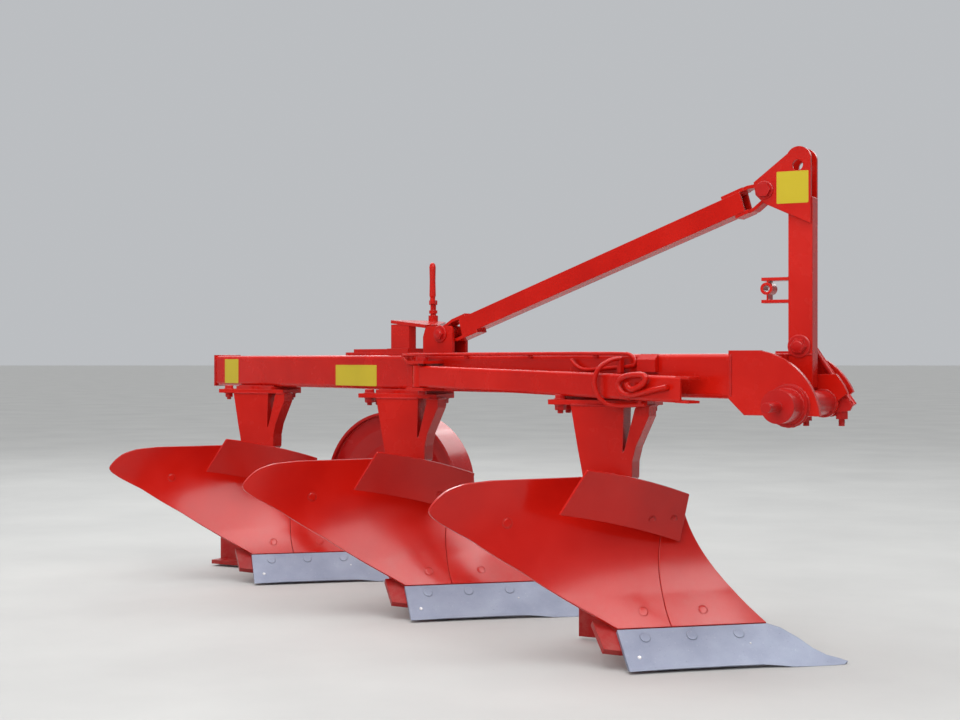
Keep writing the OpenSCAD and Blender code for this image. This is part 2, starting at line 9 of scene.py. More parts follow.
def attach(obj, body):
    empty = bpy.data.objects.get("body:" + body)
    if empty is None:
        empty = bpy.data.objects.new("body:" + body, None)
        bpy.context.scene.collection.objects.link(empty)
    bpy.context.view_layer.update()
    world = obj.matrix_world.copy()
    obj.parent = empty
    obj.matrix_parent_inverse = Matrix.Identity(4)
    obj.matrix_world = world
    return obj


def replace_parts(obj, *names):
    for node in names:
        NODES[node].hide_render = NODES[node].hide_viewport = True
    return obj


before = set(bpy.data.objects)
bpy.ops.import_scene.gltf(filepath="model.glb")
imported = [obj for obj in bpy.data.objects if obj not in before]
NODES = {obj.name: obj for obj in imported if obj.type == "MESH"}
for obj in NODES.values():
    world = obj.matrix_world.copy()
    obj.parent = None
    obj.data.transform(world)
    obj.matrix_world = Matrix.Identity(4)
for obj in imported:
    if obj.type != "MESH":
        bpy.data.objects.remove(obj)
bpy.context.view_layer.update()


# The whole plough is drawn from the tip of the front share; FX, FY and FZ move it to the frame's origin (mm).
FX, FY, FZ = 1233.2, -134.9, 8.0
PX, PY = 800.0, 350.0
ANG = math.atan2(PY, PX)
RND = random.Random(7)


def W(x, y, z):
    """A point given in mm from the front share's tip, in metres in the row frame."""
    return Vector(((x + FX) / 1000, (y + FY) / 1000, (z + FZ) / 1000))


def V(x, y, z):
    return Vector((x, y, z))


def beam(s, r, z):
    """mm: s back along the beam, r to its right."""
    return V(-s * math.cos(ANG) - r * math.sin(ANG), -303 + s * math.sin(ANG) - r * math.cos(ANG), z)


BACK = V(-math.cos(ANG), math.sin(ANG), 0)
RIGHT = V(-math.sin(ANG), -math.cos(ANG), 0)
UP = V(0, 0, 1)

# ------------------------------------------------------------------ materials


def new_material(name):
    m = bpy.data.materials.new(name)
    m.use_nodes = True
    nt = m.node_tree
    nt.nodes.clear()
    out = nt.nodes.new("ShaderNodeOutputMaterial")
    bsdf = nt.nodes.new("ShaderNodeBsdfPrincipled")
    nt.links.new(bsdf.outputs[0], out.inputs[0])
    return m, nt, bsdf


def noise(nt, coord, scale, detail=4.0, rough=0.55, stretch=None):
    src = coord
    if stretch is not None:
        mp = nt.nodes.new("ShaderNodeMapping")
        mp.inputs["Scale"].default_value = stretch
        nt.links.new(coord, mp.inputs[0])
        src = mp.outputs[0]
    n = nt.nodes.new("ShaderNodeTexNoise")
    n.inputs["Scale"].default_value = scale
    n.inputs["Detail"].default_value = detail
    n.inputs["Roughness"].default_value = rough
    nt.links.new(src, n.inputs["Vector"])
    return n.outputs["Fac"]


def ramp(nt, fac, stops):
    r = nt.nodes.new("ShaderNodeValToRGB")
    els = r.color_ramp.elements
    while len(els) > 1:
        els.remove(els[-1])
    els[0].position, els[0].color = stops[0][0], stops[0][1]
    for p, c in stops[1:]:
        e = els.new(p)
        e.color = c
    nt.links.new(fac, r.inputs[0])
    return r.outputs[0]


def grey(v):
    return (v, v, v, 1)


def mix(nt, fac, a, b, mode="MIX"):
    m = nt.nodes.new("ShaderNodeMix")
    m.data_type = "RGBA"
    m.blend_type = mode
    for sock, val in ((m.inputs[0], fac), (m.inputs[6], a), (m.inputs[7], b)):
        if hasattr(val, "is_linked") or hasattr(val, "links"):
            nt.links.new(val, sock)
        else:
            sock.default_value = val
    return m.outputs[2]


def bump(nt, height, strength, distance, normal=None):
    b = nt.nodes.new("ShaderNodeBump")
    b.inputs["Strength"].default_value = strength
    b.inputs["Distance"].default_value = distance
    nt.links.new(height, b.inputs["Height"])
    if normal is not None:
        nt.links.new(normal, b.inputs["Normal"])
    return b.outputs[0]


def rounded(nt, radius):
    n = nt.nodes.new("ShaderNodeBevel")
    n.samples = 4
    n.inputs["Radius"].default_value = radius
    return n.outputs[0]


def edge_mask(nt, radius, lo=0.80, hi=0.985):
    """1 on edges and corners, 0 on flat faces."""
    bv = nt.nodes.new("ShaderNodeBevel")
    bv.samples = 4
    bv.inputs["Radius"].default_value = radius
    geo = nt.nodes.new("ShaderNodeNewGeometry")
    dot = nt.nodes.new("ShaderNodeVectorMath")
    dot.operation = "DOT_PRODUCT"
    nt.links.new(bv.outputs[0], dot.inputs[0])
    nt.links.new(geo.outputs["Normal"], dot.inputs[1])
    return ramp(nt, dot.outputs["Value"], [(lo, grey(1.0)), (hi, grey(0.0))])


def times(nt, a, b):
    m = nt.nodes.new("ShaderNodeMath")
    m.operation = "MULTIPLY"
    nt.links.new(a, m.inputs[0])
    nt.links.new(b, m.inputs[1])
    return m.outputs[0]


def obj_coord(nt):
    return nt.nodes.new("ShaderNodeTexCoord").outputs["Object"]


def paint(name, base, dark, light, rough=(0.20, 0.32), coat=0.14, peel=0.18, edge=0.003, dust=0.07, streak=None,
          edge_wear_and_highlight=(0.66, 0.10, 0.085, 1)):
    """Sprayed enamel: slight tone drift, orange peel, dust in the low places, lighter edges that are partly rubbed
    paint and partly painted highlight.
    """
    m, nt, b = new_material(name)
    co = obj_coord(nt)
    tone = noise(nt, co, 3.5, 3)
    col = ramp(nt, tone, [(0.30, dark), (0.52, base), (0.75, light)])
    fine = noise(nt, co, 60, 5, 0.6, streak)
    col = mix(nt, ramp(nt, fine, [(0.40, grey(0.0)), (0.85, grey(0.16))]), col, light)
    # thin dust, more on what is near the ground
    sep = nt.nodes.new("ShaderNodeSeparateXYZ")
    nt.links.new(co, sep.inputs[0])
    low = nt.nodes.new("ShaderNodeMapRange")
    low.inputs["From Min"].default_value = 0.0
    low.inputs["From Max"].default_value = 0.25
    low.inputs["To Min"].default_value = dust
    low.inputs["To Max"].default_value = 0.0
    nt.links.new(sep.outputs[2], low.inputs["Value"])
    speck = ramp(nt, noise(nt, co, 22, 8, 0.7), [(0.42, grey(0)), (0.70, grey(1))])
    mul = nt.nodes.new("ShaderNodeMath")
    mul.operation = "MULTIPLY"
    nt.links.new(speck, mul.inputs[0])
    nt.links.new(low.outputs[0], mul.inputs[1])
    col = mix(nt, mul.outputs[0], col, (0.42, 0.36, 0.30, 1))
    # lighter colour along the edges, broken up by noise: partly rubbed paint, partly a painted highlight where light
    # catches the edges
    rub = ramp(nt, noise(nt, co, 38, 5, 0.65), [(0.38, grey(0.10)), (0.66, grey(0.75))])
    col = mix(nt, times(nt, edge_mask(nt, 0.0016), rub), col, edge_wear_and_highlight)
    nt.links.new(col, b.inputs["Base Color"])
    r = ramp(nt, noise(nt, co, 14, 6), [(0.3, grey(rough[0])), (0.75, grey(rough[1]))])
    nt.links.new(r, b.inputs["Roughness"])
    b.inputs["Coat Weight"].default_value = coat
    b.inputs["Coat Roughness"].default_value = 0.12
    b.inputs["Specular IOR Level"].default_value = 0.19
    nrm = rounded(nt, edge)
    nrm = bump(nt, noise(nt, co, 420, 2), peel, 0.0004, nrm)
    nrm = bump(nt, noise(nt, co, 18, 3), 0.10, 0.002, nrm)
    nt.links.new(nrm, b.inputs["Normal"])
    return m


RED = paint("red_enamel", (0.52, 0.0080, 0.0032, 1), (0.44, 0.0056, 0.0028, 1), (0.60, 0.0140, 0.0080, 1))
RED_BOARD = paint("red_board", (0.52, 0.0085, 0.0042, 1), (0.44, 0.0064, 0.0038, 1), (0.58, 0.0140, 0.0090, 1),
                  rough=(0.15, 0.24), coat=0.26, streak=(1.0, 1.0, 5.0))
RED_DEEP = paint("red_wheel", (0.45, 0.0075, 0.0065, 1), (0.38, 0.0060, 0.0055, 1), (0.52, 0.0130, 0.0110, 1), rough=(0.20, 0.30), coat=0.30)
RED_CAST = paint("red_cast", (0.46, 0.0085, 0.0070, 1), (0.36, 0.0060, 0.0055, 1), (0.54, 0.0160, 0.0130, 1),
                 rough=(0.28, 0.44), coat=0.15, peel=0.5, dust=0.12)
RED_FROG = paint("red_frog", (0.34, 0.0085, 0.0080, 1), (0.26, 0.0065, 0.0065, 1), (0.42, 0.0150, 0.0130, 1),
                 rough=(0.34, 0.50), coat=0.08, peel=0.5, dust=0.16)
RED_NUT = paint("red_fastener", (0.46, 0.0085, 0.0070, 1), (0.36, 0.0060, 0.0055, 1), (0.56, 0.0160, 0.0130, 1),
                rough=(0.26, 0.40), coat=0.2, edge=0.001)
# the sticker's lighter edge colour is partly painted highlight too
YELLOW = paint("yellow_sticker", (0.56, 0.43, 0.020, 1), (0.52, 0.40, 0.018, 1), (0.60, 0.47, 0.035, 1),
               rough=(0.28, 0.36), coat=0.3, peel=0.05, edge=0.0005, dust=0.0, edge_wear_and_highlight=(0.60, 0.50, 0.12, 1))


def share_material():
    m, nt, b = new_material("share_blue_grey")
    co = obj_coord(nt)
    col = ramp(nt, noise(nt, co, 9, 5), [(0.30, (0.20, 0.225, 0.31, 1)), (0.55, (0.245, 0.275, 0.365, 1)), (0.80, (0.30, 0.335, 0.42, 1))])
    speck = ramp(nt, noise(nt, co, 130, 6, 0.7), [(0.60, grey(0)), (0.74, grey(0.55))])
    col = mix(nt, speck, col, (0.40, 0.43, 0.50, 1))
    scr = ramp(nt, noise(nt, co, 30, 8, 0.75, (1.0, 8.0, 30.0)), [(0.60, grey(0)), (0.72, grey(0.5))])
    col = mix(nt, scr, col, (0.20, 0.22, 0.27, 1))
    rub = ramp(nt, noise(nt, co, 45, 5, 0.65), [(0.36, grey(0.15)), (0.62, grey(0.85))])
    col = mix(nt, times(nt, edge_mask(nt, 0.0018), rub), col, (0.46, 0.48, 0.52, 1))
    pit = ramp(nt, noise(nt, co, 210, 3, 0.6), [(0.66, grey(0)), (0.72, grey(0.6))])
    col = mix(nt, pit, col, (0.12, 0.13, 0.17, 1))
    nt.links.new(col, b.inputs["Base Color"])
    b.inputs["Metallic"].default_value = 0.15
    nt.links.new(ramp(nt, noise(nt, co, 25, 6), [(0.3, grey(0.36)), (0.75, grey(0.55))]), b.inputs["Roughness"])
    nrm = rounded(nt, 0.002)
    nrm = bump(nt, noise(nt, co, 300, 4), 0.25, 0.0004, nrm)
    nrm = bump(nt, noise(nt, co, 24, 4), 0.15, 0.0015, nrm)
    nt.links.new(nrm, b.inputs["Normal"])
    return m


def steel_material(name, lo, hi, rough):
    m, nt, b = new_material(name)
    co = obj_coord(nt)
    nt.links.new(ramp(nt, noise(nt, co, 45, 6), [(0.3, lo), (0.8, hi)]), b.inputs["Base Color"])
    b.inputs["Metallic"].default_value = 0.9
    nt.links.new(ramp(nt, noise(nt, co, 120, 6), [(0.3, grey(rough)), (0.8, grey(rough + 0.2))]), b.inputs["Roughness"])
    nt.links.new(bump(nt, noise(nt, co, 500, 3), 0.2, 0.0003, rounded(nt, 0.0008)), b.inputs["Normal"])
    return m


SHARE = share_material()
ZINC = steel_material("zinc_steel", (0.42, 0.42, 0.44, 1), (0.62, 0.62, 0.64, 1), 0.28)
# near-black metal for the inside of holes: painted shade, not the steel's own colour; no piece uses it
HOLE_SHADE = steel_material("painted_hole_shade", (0.012, 0.010, 0.010, 1), (0.03, 0.025, 0.025, 1), 0.6)

for name, o in NODES.items():
    mat = RED
    if name.endswith("_share"):
        mat = SHARE
    elif name in ("wheel_rim", "wheel_hub"):
        mat = RED_DEEP
    elif name.endswith(("_frog", "_landside")):
        mat = RED_FROG
    elif name in ("moldboard_stays", "swing_screw", "wheel_bracket", "cross_shaft"):
        mat = RED_CAST
    elif name in ("stay_bolt_top", "stay_bolt_foot", "arm_pivot_pin", "wheel_axle"):
        mat = RED_NUT
    o.data.materials.clear()
    o.data.materials.append(mat)

# ------------------------------------------------------------------ mesh helpers


def to_frame(p):
    return W(p[0], p[1], p[2])


def make(name, verts, faces, mat, body="frame", slot="red_paint", smooth=True, bevel=0.0, seg=2, autosmooth=35):
    """A closed mesh from points in mm."""
    me = bpy.data.meshes.new(name)
    me.from_pydata([to_frame(v) for v in verts], [], faces)
    bm = bmesh.new()
    bm.from_mesh(me)
    bmesh.ops.remove_doubles(bm, verts=bm.verts, dist=1e-6)
    bmesh.ops.recalc_face_normals(bm, faces=bm.faces)
    lim = math.radians(autosmooth)
    for f in bm.faces:
        f.smooth = smooth
    for e in bm.edges:
        e.smooth = not (len(e.link_faces) == 2 and e.calc_face_angle(0.0) > lim)
    bm.to_mesh(me)
    bm.free()
    o = bpy.data.objects.new(name, me)
    bpy.context.scene.collection.objects.link(o)
    me.materials.append(mat)
    if bevel:
        bv = o.modifiers.new("edge", "BEVEL")
        bv.width = bevel / 1000
        bv.segments = seg
        bv.limit_method = "ANGLE"
        bv.angle_limit = math.radians(40)
        bv.harden_normals = False
    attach(o, body)
    return o


class Soup:
    """Collects several closed shapes, in mm, for one piece."""

    def __init__(self):
        self.v, self.f = [], []

    def add(self, verts, faces):
        n = len(self.v)
        self.v += verts
        self.f += [[i + n for i in f] for f in faces]

    def lathe(self, at, axis, profile, n=32, twist=0.0):
        """profile: (radius, height) pairs from the bottom axis point to the top axis point."""
        axis = Vector(axis).normalized()
        e1 = axis.orthogonal().normalized()
        e2 = axis.cross(e1)
        verts, rings = [], []
        for r, h in profile:
            c = Vector(at) + axis * h
            if r <= 1e-6:
                rings.append([len(verts)])
                verts.append(c)
            else:
                rings.append(list(range(len(verts), len(verts) + n)))
                verts += [c + (e1 * math.cos(2 * math.pi * (k / n) + twist) + e2 * math.sin(2 * math.pi * (k / n) + twist)) * r for k in range(n)]
        faces = []
        for a, b in zip(rings, rings[1:]):
            if len(a) == 1 and len(b) == 1:
                continue
            for k in range(n):
                k1 = (k + 1) % n
                if len(a) == 1:
                    faces.append([a[0], b[k1], b[k]])
                elif len(b) == 1:
                    faces.append([a[k], a[k1], b[0]])
                else:
                    faces.append([a[k], a[k1], b[k1], b[k]])
        self.add(verts, faces)

    def hexa(self, at, axis, af, h, cham=None, turn=0.0):
        """A hexagon head or nut, across flats af, with its outer corners chamfered."""
        axis = Vector(axis).normalized()
        e1 = axis.orthogonal().normalized()
        e2 = axis.cross(e1)
        R = af / math.sqrt(3)
        c = cham if cham is not None else h * 0.16
        verts = [Vector(at)]
        def ring(rad, z):
            i = len(verts)
            verts.extend(Vector(at) + axis * z + (e1 * math.cos(math.pi * k / 3 + turn) + e2 * math.sin(math.pi * k / 3 + turn)) * rad for k in range(6))
            return list(range(i, i + 6))
        r0, r1, r2 = ring(R, 0), ring(R, h - c), ring(R * 0.86, h)
        top = len(verts)
        verts.append(Vector(at) + axis * h)
        faces = []
        for k in range(6):
            k1 = (k + 1) % 6
            faces += [[0, r0[k1], r0[k]], [r0[k], r0[k1], r1[k1], r1[k]], [r1[k], r1[k1], r2[k1], r2[k]], [r2[k], r2[k1], top]]
        self.add(verts, faces)

    def washer(self, at, axis, r, h):
        self.lathe(at, axis, [(0, 0), (r - 0.6, 0), (r, 0.5), (r, h - 0.5), (r - 0.6, h), (0, h)], 36)

    def thread(self, at, axis, r, length, pitch=2.0, n=20):
        prof = [(0, 0), (r * 0.86, 0)]
        k = 0.0
        while k < length - pitch:
            prof += [(r * 0.88, k + pitch * 0.1), (r, k + pitch * 0.5), (r, k + pitch * 0.6)]
            k += pitch
        prof += [(r * 0.88, length - 0.8), (r * 0.72, length), (0, length)]
        self.lathe(at, axis, prof, n)

    def tube(self, pts, rad, n=10, wobble=0.0, flat=1.0):
        """A round bead along points, closed at both ends."""
        pts = [Vector(p) for p in pts]
        verts, rings = [], []
        up = None
        for i, p in enumerate(pts):
            t = (pts[min(i + 1, len(pts) - 1)] - pts[max(i - 1, 0)]).normalized()
            if up is None:
                up = t.orthogonal().normalized()
            up = (up - t * up.dot(t)).normalized()
            side = t.cross(up)
            rr = rad * (1 + wobble * math.sin(i * 2.1) + wobble * 0.5 * RND.uniform(-1, 1))
            if i in (0, len(pts) - 1):
                rr *= 0.6
            rings.append(list(range(len(verts), len(verts) + n)))
            verts += [p + (up * math.cos(2 * math.pi * k / n) + side * math.sin(2 * math.pi * k / n) * flat) * rr for k in range(n)]
        faces = []
        for a, b in zip(rings, rings[1:]):
            for k in range(n):
                k1 = (k + 1) % n
                faces.append([a[k], a[k1], b[k1], b[k]])
        faces += [rings[0][::-1], rings[-1]]
        self.add(verts, faces)

    def weld(self, a, b, rad=3.2, step=4.5):
        """A rippled fillet bead from a to b."""
        a, b = Vector(a), Vector(b)
        n = max(3, int((b - a).length / step))
        self.tube([a + (b - a) * (i / n) for i in range(n + 1)], rad, 8, 0.16)

    def weld_ring(self, c, axis, r, rad=3.2, a0=0.0, a1=2 * math.pi):
        axis = Vector(axis).normalized()
        e1 = axis.orthogonal().normalized()
        e2 = axis.cross(e1)
        n = max(8, int(abs(a1 - a0) * r / 4.5))
        self.tube([Vector(c) + (e1 * math.cos(a0 + (a1 - a0) * i / n) + e2 * math.sin(a0 + (a1 - a0) * i / n)) * r for i in range(n + 1)], rad, 8, 0.16)

    def prism(self, outline, to3d, lo, hi):
        """outline: 2-D points; to3d(u, v, t) gives the place; t runs from lo to hi."""
        n = len(outline)
        verts = [to3d(u, v, lo) for u, v in outline] + [to3d(u, v, hi) for u, v in outline]
        faces = [list(range(n))[::-1], list(range(n, 2 * n))]
        faces += [[k, (k + 1) % n, n + (k + 1) % n, n + k] for k in range(n)]
        self.add(verts, faces)

    def bolt(self, at, axis, d, head=None, washer=True, shank=0.0, turn=0.0):
        """A bolt head that stands on the surface at `at`, pointing along axis."""
        axis = Vector(axis).normalized()
        h = 0.0
        if washer:
            self.washer(Vector(at), axis, d * 1.02, 2.4)
            h = 2.3
        k = head if head else d * 0.64
        self.hexa(Vector(at) + axis * h, axis, d * 1.55, k, turn=turn)
        if shank:
            self.thread(Vector(at) + axis * (h + k - 1), axis, d / 2, shank)

    def piece(self, name, mat, body="frame", slot="red_paint", **kw):
        return make(name, self.v, self.f, mat, body, slot, **kw)


# ------------------------------------------------------------------ moldboard surface
SHARE_ANG, SHARE_SLOPE = math.radians(42), math.radians(43)


def shin_x(z):
    return -181 - 228 * (1 - ((z - 412) / 330) ** 2)


def shin_y(z):
    return -45 + 10 * min(1, (z - 82) / 80)


def line_ang(z):
    u = max(0.0, min(1.0, (z - 84) / 356))
    return math.radians(42 + 13.2 * (1 - (1 - u) ** 2))


def on_board(s, z):
    t = line_ang(z)
    return V(shin_x(z) - s * math.cos(t), shin_y(z) - s * math.sin(t), z)


def board_n(s, z):
    a = on_board(s + 1, z) - on_board(s - 1, z)
    b = on_board(s, z + 1) - on_board(s, z - 1)
    return b.cross(a).normalized()


BOARD_END = [(84, 380), (114, 405), (174, 464), (221, 507), (261, 556), (302, 604), (339, 664), (359, 690), (371, 698), (383, 691),
             (401, 674), (421, 647), (433, 603), (438, 535)]


def board_end(z):
    for (z0, s0), (z1, s1) in zip(BOARD_END, BOARD_END[1:]):
        if z <= z1:
            return s0 + (s1 - s0) * (z - z0) / (z1 - z0)
    return BOARD_END[-1][1]


def seam(z):
    return max(0.0, 245.9 - 0.7524 * (z - 84))


def board_start(z):
    return seam(z) + 0.8 if z < 383 else max(seam(z) + 0.8, (z - 383) / 0.19)


def smooth_end(z):
    return sum(board_end(max(84, min(438, z + d))) for d in (-6, -3, 0, 3, 6)) / 5 if 90 < z < 425 else board_end(z)


def sheet_piece(name, k, rows, cols, t, mat):
    """rows: (z, s0, s1); a closed plate t thick behind the surface."""
    front, back = [], []
    off = V(-PX * k, PY * k, 0)
    for z, s0, s1 in rows:
        for i in range(cols + 1):
            s = s0 + (s1 - s0) * i / cols
            p, n = on_board(s, z), board_n(s, z)
            front.append(p + off)
            back.append(p - n * t + off)
    m, nr, q = cols + 1, len(rows), len(rows) * (cols + 1)
    faces = []
    for j in range(nr - 1):
        for i in range(cols):
            a = j * m + i
            faces.append([a, a + m, a + m + 1, a + 1])
            faces.append([q + a, q + a + 1, q + a + m + 1, q + a + m])
    for i in range(cols):
        faces.append([i, i + 1, q + i + 1, q + i])
        a = (nr - 1) * m + i
        faces.append([a, q + a, q + a + 1, a + 1])
    for j in range(nr - 1):
        a = j * m
        faces.append([a, q + a, q + a + m, a + m])
        a = j * m + cols
        faces.append([a, a + m, q + a + m, q + a])
    return make(name, front + back, faces, mat, bevel=1.6, seg=2, autosmooth=40)


BODY = ["front", "middle", "rear"]
zs = [84 + (383 - 84) * i / 44 for i in range(45)] + [383 + 55 * (1 - (1 - i / 16) ** 1.6) for i in range(1, 17)]
for k, b in enumerate(BODY):
    o = sheet_piece(f"{b}_board_plate", k, [(z, board_start(z), smooth_end(z)) for z in zs], 44, 8, RED_BOARD)
    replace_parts(o, f"{b}_moldboard")
    o = sheet_piece(f"{b}_shin_plate", k, [(z, 0.0, seam(z) - 0.8) for z in zs if z <= 383], 20, 8, RED_BOARD)
    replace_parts(o, f"{b}_shin")

# ------------------------------------------------------------------ shares
U = V(-math.cos(SHARE_ANG), -math.sin(SHARE_ANG), 0)
HORIZ = V(-math.sin(SHARE_ANG), math.cos(SHARE_ANG), 0)
VV = HORIZ * math.cos(SHARE_SLOPE) + UP * math.sin(SHARE_SLOPE)
SN = U.cross(VV).normalized()
if SN.z < 0:
    SN = -SN


def on_share(u, v, t):
    """t: above the face, along its normal."""
    return U * u + VV * v + SN * t


def share_piece(name, k, node):
    """The blade of the CAD part with its edges broken."""
    off = V(-PX * k, PY * k, 0)
    bm = bmesh.new()
    bm.from_mesh(NODES[node].data)
    bmesh.ops.remove_doubles(bm, verts=bm.verts, dist=1e-5)
    bmesh.ops.dissolve_limit(bm, angle_limit=math.radians(0.4), verts=bm.verts, edges=bm.edges)
    for f in bm.faces:
        f.smooth = False
    me = bpy.data.meshes.new(name)
    bm.to_mesh(me)
    bm.free()
    o = bpy.data.objects.new(name, me)
    bpy.context.scene.collection.objects.link(o)
    me.materials.clear()
    me.materials.append(SHARE)
    bv = o.modifiers.new("edge", "BEVEL")
    bv.width, bv.segments, bv.limit_method, bv.angle_limit = 0.0009, 2, "ANGLE", math.radians(35)
    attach(o, "frame")
    return o


for k, b in enumerate(BODY):
    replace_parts(share_piece(f"{b}_share_blade", k, f"{b}_share"), f"{b}_share")

# ------------------------------------------------------------------ plough bolts in the faces


def plough_bolt(s, p, n, r=12.5, lift=0.5):
    """A countersunk bolt head, nearly flush."""
    s.lathe(p - n * 4, n, [(0, 0), (r * 0.8, 0), (r, 4 + lift * 0.5), (r * 0.93, 4 + lift), (r * 0.55, 4 + lift * 1.15), (0, 4 + lift * 1.2)], 40)


def ring_line(s, p, n, r, w=0.9, h=0.25):
    s.lathe(p - n * 1.0, n, [(r - w, 0), (r + w, 0), (r + w * 0.5, 1 + h), (r - w * 0.5, 1 + h), (r - w, 0)], 44)


TR, TL, BL = V(-380, -49, 387), V(-505, -386, 464), V(-563, -418, 359)
BR = on_board(55, 268) + board_n(55, 268) * 9
TN = (TL - TR).cross(BL - TR).normalized()


def on_trash(a, c, t=0.0):
    """a from the shin to the wing, c from the top edge down, t above the front face."""
    top = TR + (TL - TR) * a
    low = BR + (BL - BR) * a
    return top * (1 - c) + low * c + (V(0, 0, 9) + TN * 5) * (4 * a * (1 - a)) + TN * t


for k, b in enumerate(BODY):
    off = V(-PX * k, PY * k, 0)
    verts, faces, na, nc = [], [], 28, 8
    for t in (0.0, -6.0):
        verts += [on_trash(i / na, j / nc, t) + off for j in range(nc + 1) for i in range(na + 1)]
    q, m_ = (na + 1) * (nc + 1), na + 1
    for j in range(nc):
        for i in range(na):
            a = j * m_ + i
            faces += [[a, a + 1, a + m_ + 1, a + m_], [q + a, q + a + m_, q + a + m_ + 1, q + a + 1]]
    rim = list(range(na + 1)) + [j * m_ + na for j in range(1, nc + 1)] + [nc * m_ + i for i in range(na - 1, -1, -1)] + [j * m_ for j in range(nc - 1, 0, -1)]
    for x, y in zip(rim, rim[1:] + rim[:1]):
        faces.append([x, q + x, q + y, y])
    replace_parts(make(f"{b}_trash_plate", verts, faces, RED_BOARD, bevel=1.2, seg=2, autosmooth=40), f"{b}_trashboard")

for k, b in enumerate(BODY):
    off = V(-PX * k, PY * k, 0)
    heads, shb = Soup(), Soup()
    for s, z in ((278, 119), (125, 117), (499, 336)):
        p, n = on_board(s, z) + off, board_n(s, z)
        plough_bolt(heads, p, n, 11.5)
        ring_line(heads, p, n, 13.6)
    heads.piece(f"{b}_board_bolts", RED_BOARD, slot="red_paint", autosmooth=30)
    for u in (486.5, 368.5, 248.5):
        plough_bolt(shb, on_share(u, 94, 0) + off, SN, 13.5, 2.2)
    shb.piece(f"{b}_share_bolts", SHARE, slot="share_steel", autosmooth=30)
    pins = Soup()
    for u, v, r in ((515, 38.5, 5.0), (227.4, 64, 2.6)):
        pins.lathe(on_share(u, v, -2) + off, SN, [(0, 0), (r, 0), (r, 2.4), (r * 0.8, 3.0), (r * 0.35, 2.6), (0, 2.5)], 24)
    pins.piece(f"{b}_share_pins", ZINC, slot="bolt_steel", autosmooth=30)
    tb = Soup()
    for a, c in ((0.095, 0.61), (0.281, 0.75)):
        plough_bolt(tb, on_trash(a, c, 0.1) + off, TN, 9.5, 0.3)
        ring_line(tb, on_trash(a, c, 0.1) + off, TN, 11.5, 0.8, 0.15)
    tb.piece(f"{b}_trash_bolts", RED_BOARD, slot="red_paint", autosmooth=30)

# ------------------------------------------------------------------ legs, flanges, beam
for k, b in enumerate(BODY):
    off = V(-PX * k, PY * k, 0)
    nuts = Soup()
    for x, y in ((-702, -120), (-702, -72), (-472, -72)):
        p = V(x, y, 609) + off
        nuts.bolt(p, -UP, 16, 13, True, 9, turn=RND.uniform(0, 1))
    for x, y in ((-702, -120),):
        nuts.bolt(V(x, y, 621.9) + off, UP, 16, 10, True, 0)
    nuts.piece(f"{b}_flange_bolts", RED_NUT, slot="bolt_steel", autosmooth=30)
    w = Soup()
    for y in (-148, -100):
        w.weld(V(-660, y, 609) + off, V(-516, y, 609) + off)
        w.weld(V(-480, y, 609) + off, V(-450, y, 609) + off)
    w.weld(V(-660, -148, 609) + off, V(-660, -100, 609) + off)
    w.weld(V(-449.5, -148, 609) + off, V(-449.5, -100, 609) + off)
    w.weld(V(-620, -148, 400) + off, V(-510, -148, 400) + off, 3.0)
    s0 = 519 + k * math.hypot(PX, PY)
    w.weld(beam(s0, 50.5, 632), beam(s0 + 238, 50.5, 632), 3.0)
    w.weld(beam(s0, -50.5, 632), beam(s0 + 238, -50.5, 632), 3.0)
    w.piece(f"{b}_leg_welds", RED_CAST)

# joint plates: welds on both sides
w = Soup()
for s, sgn in ((1450, -1), (1474, 1)):
    for r in (50.5, -50.5):
        w.weld(beam(s, r, 645), beam(s, r, 724), 3.2)
    w.weld(beam(s, -38, 737.5), beam(s, 38, 737.5), 3.2)
    w.weld(beam(s, -38, 631.5), beam(s, 38, 631.5), 3.2)
for r in (50.5, -50.5):
    w.weld(beam(2680, r, 645), beam(2680, r, 724), 3.0)
w.weld(beam(2680, -38, 737.3), beam(2680, 38, 737.3), 3.0)
w.piece("beam_welds", RED_CAST)

# ------------------------------------------------------------------ headstock
h = Soup()
h.lathe(V(-98, -60, 755), V(0, -1, 0), [(0, 0), (28, 0), (28, 3.5), (26, 5.5), (0, 5.5)], 56)
h.hexa(V(-98, -65.2, 755), V(0, -1, 0), 34, 13, cham=5.0, turn=0.2)
h.lathe(V(-98, -77.6, 755), V(0, -1, 0), [(0, 0), (13, 0), (11, 2.2), (6, 3.4), (0, 3.8)], 36)
h.piece("mast_bolt", RED_NUT, slot="bolt_steel", autosmooth=30)
# boss washers under the heads of the stay's lower bolt
yaw = math.atan2(236.5 + 37.75, -1233.2 + 182)
SX, SY = V(math.cos(yaw), math.sin(yaw), 0), V(-math.sin(yaw), math.cos(yaw), 0)
foot = V(-1233.2, 236.5, 798)
h = Soup()
for sg in (1, -1):
    h.lathe(foot + SY * sg * 33, SY * sg, [(0, 0), (25, 0), (25, 3), (23.5, 4.5), (0, 4.5)], 48)
    h.lathe(foot + SY * sg * 45, SY * sg, [(0, 0), (13, 0), (11.5, 2.6), (6, 4.4), (0, 5)], 36)
h.piece("stay_foot_boss", RED_NUT, slot="bolt_steel", autosmooth=30)
h = Soup()
for sg in (1, -1):
    h.lathe(V(-182, -37.75 + sg * 30.5, 1133), V(0, sg, 0), [(0, 0), (22, 0), (22, 2.4), (20.5, 3.6), (0, 3.6)], 40)
h.piece("stay_top_washers", RED_NUT, slot="bolt_steel", autosmooth=30)

